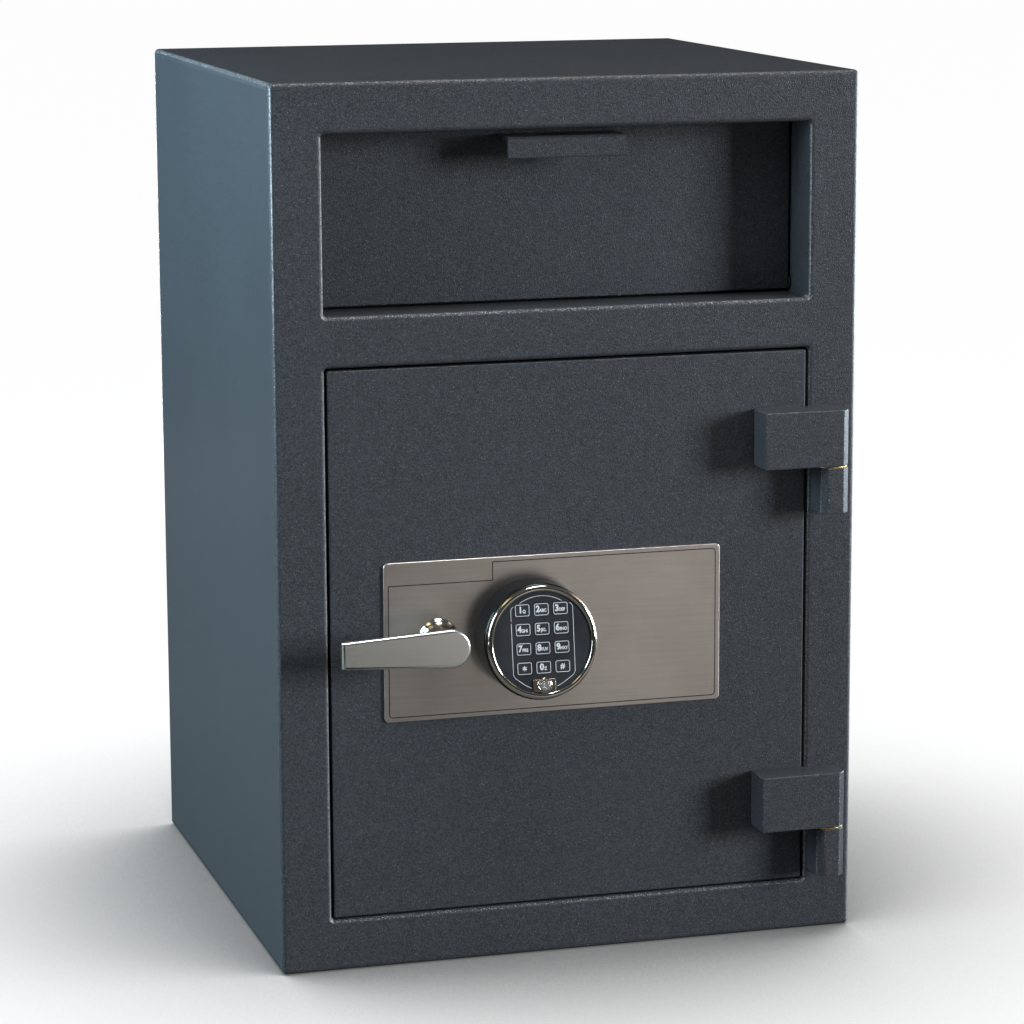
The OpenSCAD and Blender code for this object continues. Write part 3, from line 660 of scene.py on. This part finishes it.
for i, (key, letters) in enumerate(KEYS):
    x, y = (i % 3 - 1) * 16.9, ROW0 - i // 3 * 16.5
    cap = plate([(rrect(13.4, 10.8, 2.1, 6), False)], [(0, -3.1), (0, 0.15), (0.06, 0.36), (0.2, 0.52), (0.4, 0.6), (0.75, 0.6), (1.1, 0.52), (1.6, 0.48)], 2)
    skirt = plate([(rrect(15.2, 12.6, 2.6, 6), False)], [(0, -3.1), (0, -2.1)])
    here = PAD @ Matrix.Translation((x, y, 0))
    piece("key_" + key + "_finish", join(cap, skirt), RUBBER, "button_" + key, "key_" + key, slot="key_rubber", matrix=here, sharp=60)
    marks = [ribbon(offset(rrect(13.4, 10.8, 2.1, 6), 0.6), 0.48, 0.03, closed=True)]
    marks[0].transform(Matrix.Translation((0, 0, 0.592)))
    if key == "star":
        for a in (0, 60, 120):
            arm = plate([(rrect(4.4, 0.95, 0.4, 3), False)], [(0, 0.49), (0, 0.52)])
            arm.transform(Matrix.Rotation(math.radians(a + 90), 4, "Z"))
            marks.append(arm)
    elif key == "hash":
        marks.append(glyphs("#", 6.6, 0, 0.1, 0.16, 0.5))
    else:
        shift = {0: 0, 1: -1.6, 3: -3.1}[len(letters)]
        marks.append(glyphs(key, 7.6, shift, 0.25, 0.32, 0.5, squeeze=0.92))
        if letters:
            marks.append(glyphs(letters, 3.8, 1.3 if len(letters) == 3 else 1.6, -1.0, 0.17, 0.5, squeeze=0.86))
    piece("legend_" + key, join(*marks), WHITE_INK, "button_" + key, slot="key_rubber", matrix=here, flat=True)

tab = join(plate([(rrect(20, 10.6, 1.0, 4, 0, -36.8), False)], rim(1.3, 0.4, 3), 1))
piece("battery_tab_finish", tab, TAB, "door", "battery_tab", slot="chrome", matrix=PAD)
collar = lathe([(4.7, 1.0), (4.8, 1.7), (5.2, 2.1), (5.8, 2.2), (6.3, 2.0), (6.6, 1.6), (6.7, 1.0)], 64, closed=True)
piece("battery_tab_collar", collar, CHROME, "door", slot="chrome", matrix=PAD @ Matrix.Translation((0, -36.8, 0)), sharp=60)
refined("battery_tab_screw", NICKEL, [(0.18, 2, None)])

# ---------------------------------------------------------------- floor, light, camera
bm = bmesh.new()
n = 24
grid = [[bm.verts.new((-30 + 60 * i / n, -30 + 60 * j / n, -0.0004)) for j in range(n + 1)] for i in range(n + 1)]
for i in range(n):
    for j in range(n):
        bm.faces.new((grid[i][j], grid[i + 1][j], grid[i + 1][j + 1], grid[i][j + 1]))
me = bpy.data.meshes.new("studio_floor")
bm.to_mesh(me)
bm.free()
floor = bpy.data.objects.new("studio_floor", me)
scene.collection.objects.link(floor)
fm, t, b = material("studio_paper", Specular_IOR_Level=0.0)
# seen by the camera the floor is lighter than for light bouncing off it or mirrored in the metal
seen = N(t, "ShaderNodeLightPath").outputs["Is Camera Ray"]
g = noise(t, coords(t), 60, 3, 0.5)
put(t, b, Base_Color=blend(t, seen, (0.12, 0.109, 0.096), blend(t, g, (0.05, 0.05, 0.05), (0.06, 0.06, 0.06))), Roughness=ramp(t, g, 0.3, 0.7, 0.7, 0.8))
# painted shadow: seen by the camera the floor also glows, an emission that goes darker near the safe by ambient
# occlusion
near_it = N(t, "ShaderNodeAmbientOcclusion", {"Distance": 0.5}, samples=10).outputs["AO"]
shade = ramp(t, near_it, 0.42, 1.06, 0.12, 1.0)
glow = N(t, "ShaderNodeEmission", {"Color": N(t, "ShaderNodeCombineColor", {0: shade, 1: shade, 2: shade}).outputs[0]}).outputs[0]
lit = N(t, "ShaderNodeAddShader", {0: b.outputs[0], 1: glow}).outputs[0]
both = N(t, "ShaderNodeMixShader", {0: seen, 1: b.outputs[0], 2: lit}).outputs[0]
t.links.new(both, t.nodes["Material Output"].inputs["Surface"])
me.materials.append(fm)

world = bpy.data.worlds.new("studio")
world.use_nodes = True
scene.world = world
t = world.node_tree
d = N(t, "ShaderNodeSeparateXYZ", {0: N(t, "ShaderNodeTexCoord").outputs["Generated"]})
up = ramp(t, d.outputs[2], 0.0, 0.8)
sky = blend(t, up, (0.034, 0.032, 0.030), (0.095, 0.095, 0.095))
sky = blend(t, ramp(t, d.outputs[1], 0.0, 0.6, 0.0, 0.7), sky, (0.0, 0.0, 0.0))
left_side = ramp(t, d.outputs[0], -0.2, -1.0)
sky = blend(t, calc(t, "MULTIPLY", left_side, 0.6), sky, (0.06, 0.085, 0.11))
seen = N(t, "ShaderNodeLightPath").outputs["Is Camera Ray"]
t.links.new(blend(t, seen, sky, (1.0, 1.0, 1.0)), t.nodes["Background"].inputs["Color"])


def area(name, loc, aim, size, power, color=(1, 1, 1), size_y=None):
    l = bpy.data.lights.new(name, "AREA")
    l.shape, l.size, l.size_y, l.energy, l.color = "RECTANGLE", size, size_y or size, power, color
    o = bpy.data.objects.new(name, l)
    scene.collection.objects.link(o)
    o.location = loc
    o.rotation_euler = (Vector(aim) - Vector(loc)).to_track_quat("-Z", "Y").to_euler()
    o.visible_camera = False


area("key_right", (9.15, -5.64, 2.10), (0.0, -0.25, 0.45), 3.0, 1320, (0.88, 0.95, 1.0), 3.4)
area("softbox_top", (0.40, -0.50, 2.60), (0.0, -0.05, 0.76), 0.9, 25, (1.0, 0.96, 0.92), 0.55)
area("fill_left", (-1.15, 0.05, 0.93), (-0.26, 0.0, 0.76), 1.4, 32, (0.62, 0.87, 1.0), 0.5)
area("strip_left", (-2.60, -0.50, 0.75), (0.0, -0.25, 0.50), 0.35, 21, (0.74, 0.90, 1.0), 1.15)
area("rim_right", (2.60, 0.62, 0.42), (0.26, -0.1, 0.42), 2.2, 75, (0.74, 0.88, 1.0), 1.1)
area("fill_back", (0.0, 2.60, 0.38), (0.0, 0.25, 0.38), 0.48, 36, (0.90, 0.96, 1.0), 0.7)
# a card lying on the floor, and two warm boards overhead, for the metal to mirror
area("front_card", (0.75, -2.10, 0.012), (0.75, -2.10, 1.0), 1.1, 3.3, (1.0, 0.95, 0.90), 2.4)
area("board_gold", (-1.26, -1.07, 2.40), (0.0, -0.29, 0.29), 1.1, 3.6, (1.0, 0.80, 0.42), 0.55)
area("board_amber", (2.10, -0.24, 1.75), (0.0, -0.29, 0.29), 1.0, 2.2, (1.0, 0.66, 0.38), 0.5)

cam = bpy.data.cameras.new("camera")
cam.sensor_width, cam.sensor_height, cam.sensor_fit, cam.lens = 36.0, 36.0, "HORIZONTAL", 126.81
cam.clip_start, cam.clip_end = 0.05, 200
eye = bpy.data.objects.new("camera", cam)
scene.collection.objects.link(eye)
eye.matrix_world = (Matrix.Translation((-0.8913, -3.1584, 0.9658)) @ Matrix.Rotation(math.radians(-16.10), 4, "Z")
                    @ Matrix.Rotation(math.radians(90 - 10.721), 4, "X") @ Matrix.Rotation(math.radians(-0.25), 4, "Z"))
scene.camera = eye
scene.view_settings.view_transform = "Standard"
